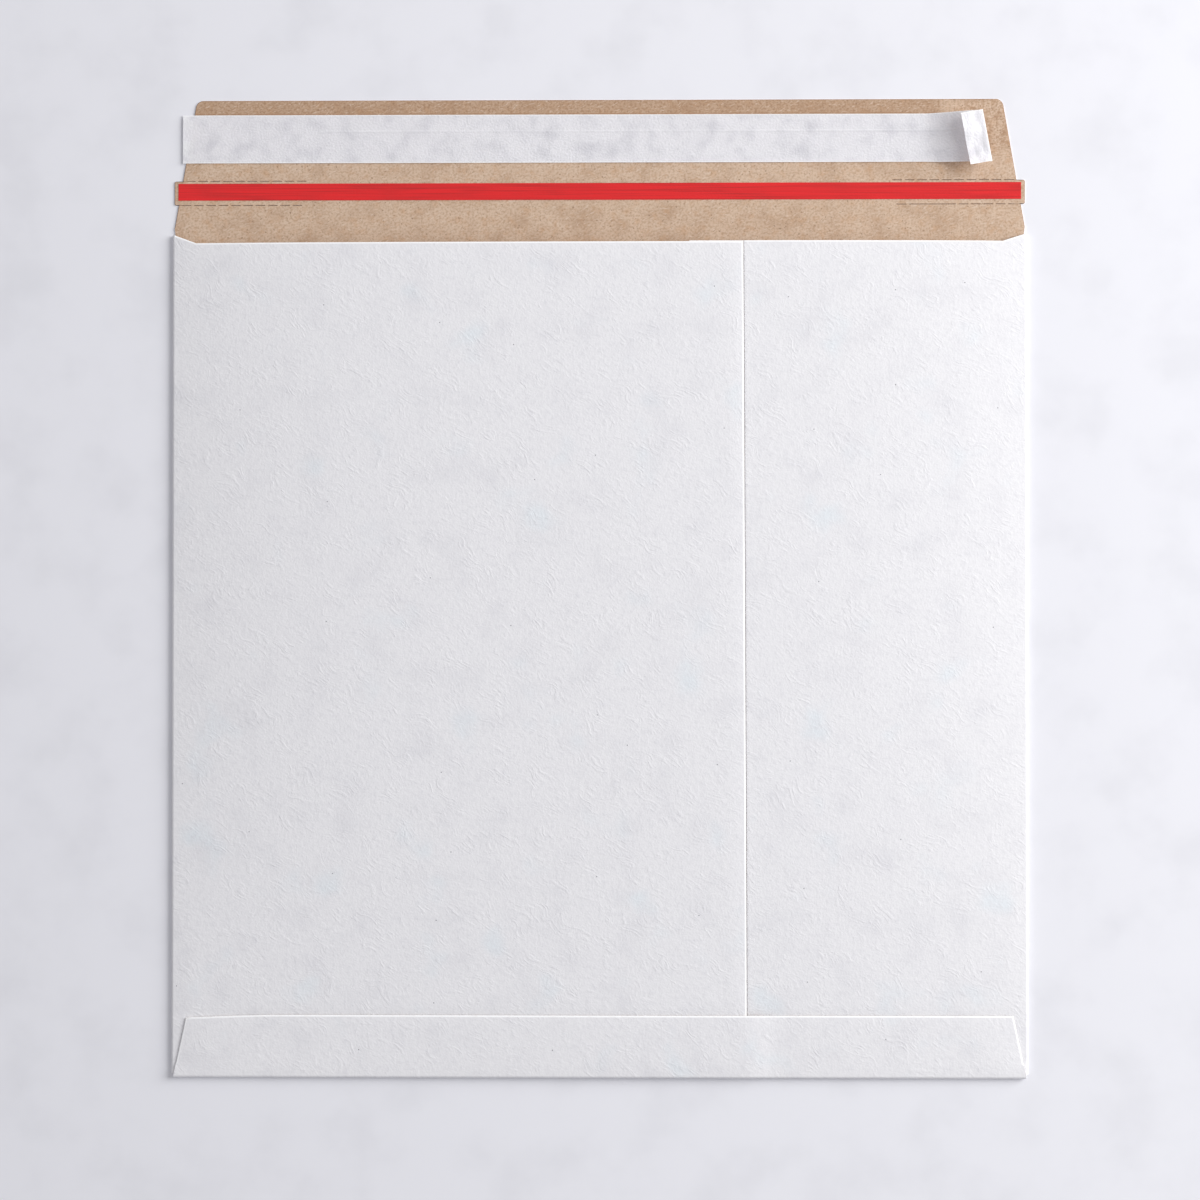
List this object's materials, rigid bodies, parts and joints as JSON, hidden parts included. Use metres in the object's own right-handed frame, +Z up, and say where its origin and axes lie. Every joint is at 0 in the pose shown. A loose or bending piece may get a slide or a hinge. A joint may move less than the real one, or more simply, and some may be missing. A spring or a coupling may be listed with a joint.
{
  "type": "calendar envelope",
  "caption": "Rigid board calendar envelope lying seam side up, closing flap open, with peel-off liner, self-seal strip and tear-open strip.",
  "frame": {"origin": "On the resting surface, under the middle of the box round the open envelope", "axes": "+Y from the bottom fold towards the closing flap, +X to the right seen from the seam side, +Z up out of the seam side"},
  "size_m": [0.345, 0.3948, 0.0067],
  "materials": {
    "white_board": "matt white lined solid board, brown kraft inside",
    "kraft_board": "matt brown kraft inner side, white outside",
    "glue": "dried board glue",
    "adhesive": "tacky self-seal adhesive",
    "release_paper": "smooth siliconed release paper, faint gloss",
    "tear_film": "satin red tear film"
  },
  "bodies": {
    "envelope": {"envelope_body": "white_board", "seam_glue": "glue", "bottom_glue_left": "glue", "bottom_glue_right": "glue"},
    "flap": {"closing_flap": "kraft_board", "closure_adhesive": "adhesive", "release_liner": "release_paper", "tear_tape": "tear_film"}
  },
  "joints": [
    {"name": "flap_fold", "type": "hinge", "parent": "envelope", "child": "flap", "pos_m": [0, 0.1456, 0.00382], "axis": [1, 0, 0], "range_deg": [0, 180], "deforming": ["release_liner"]}
  ]
}
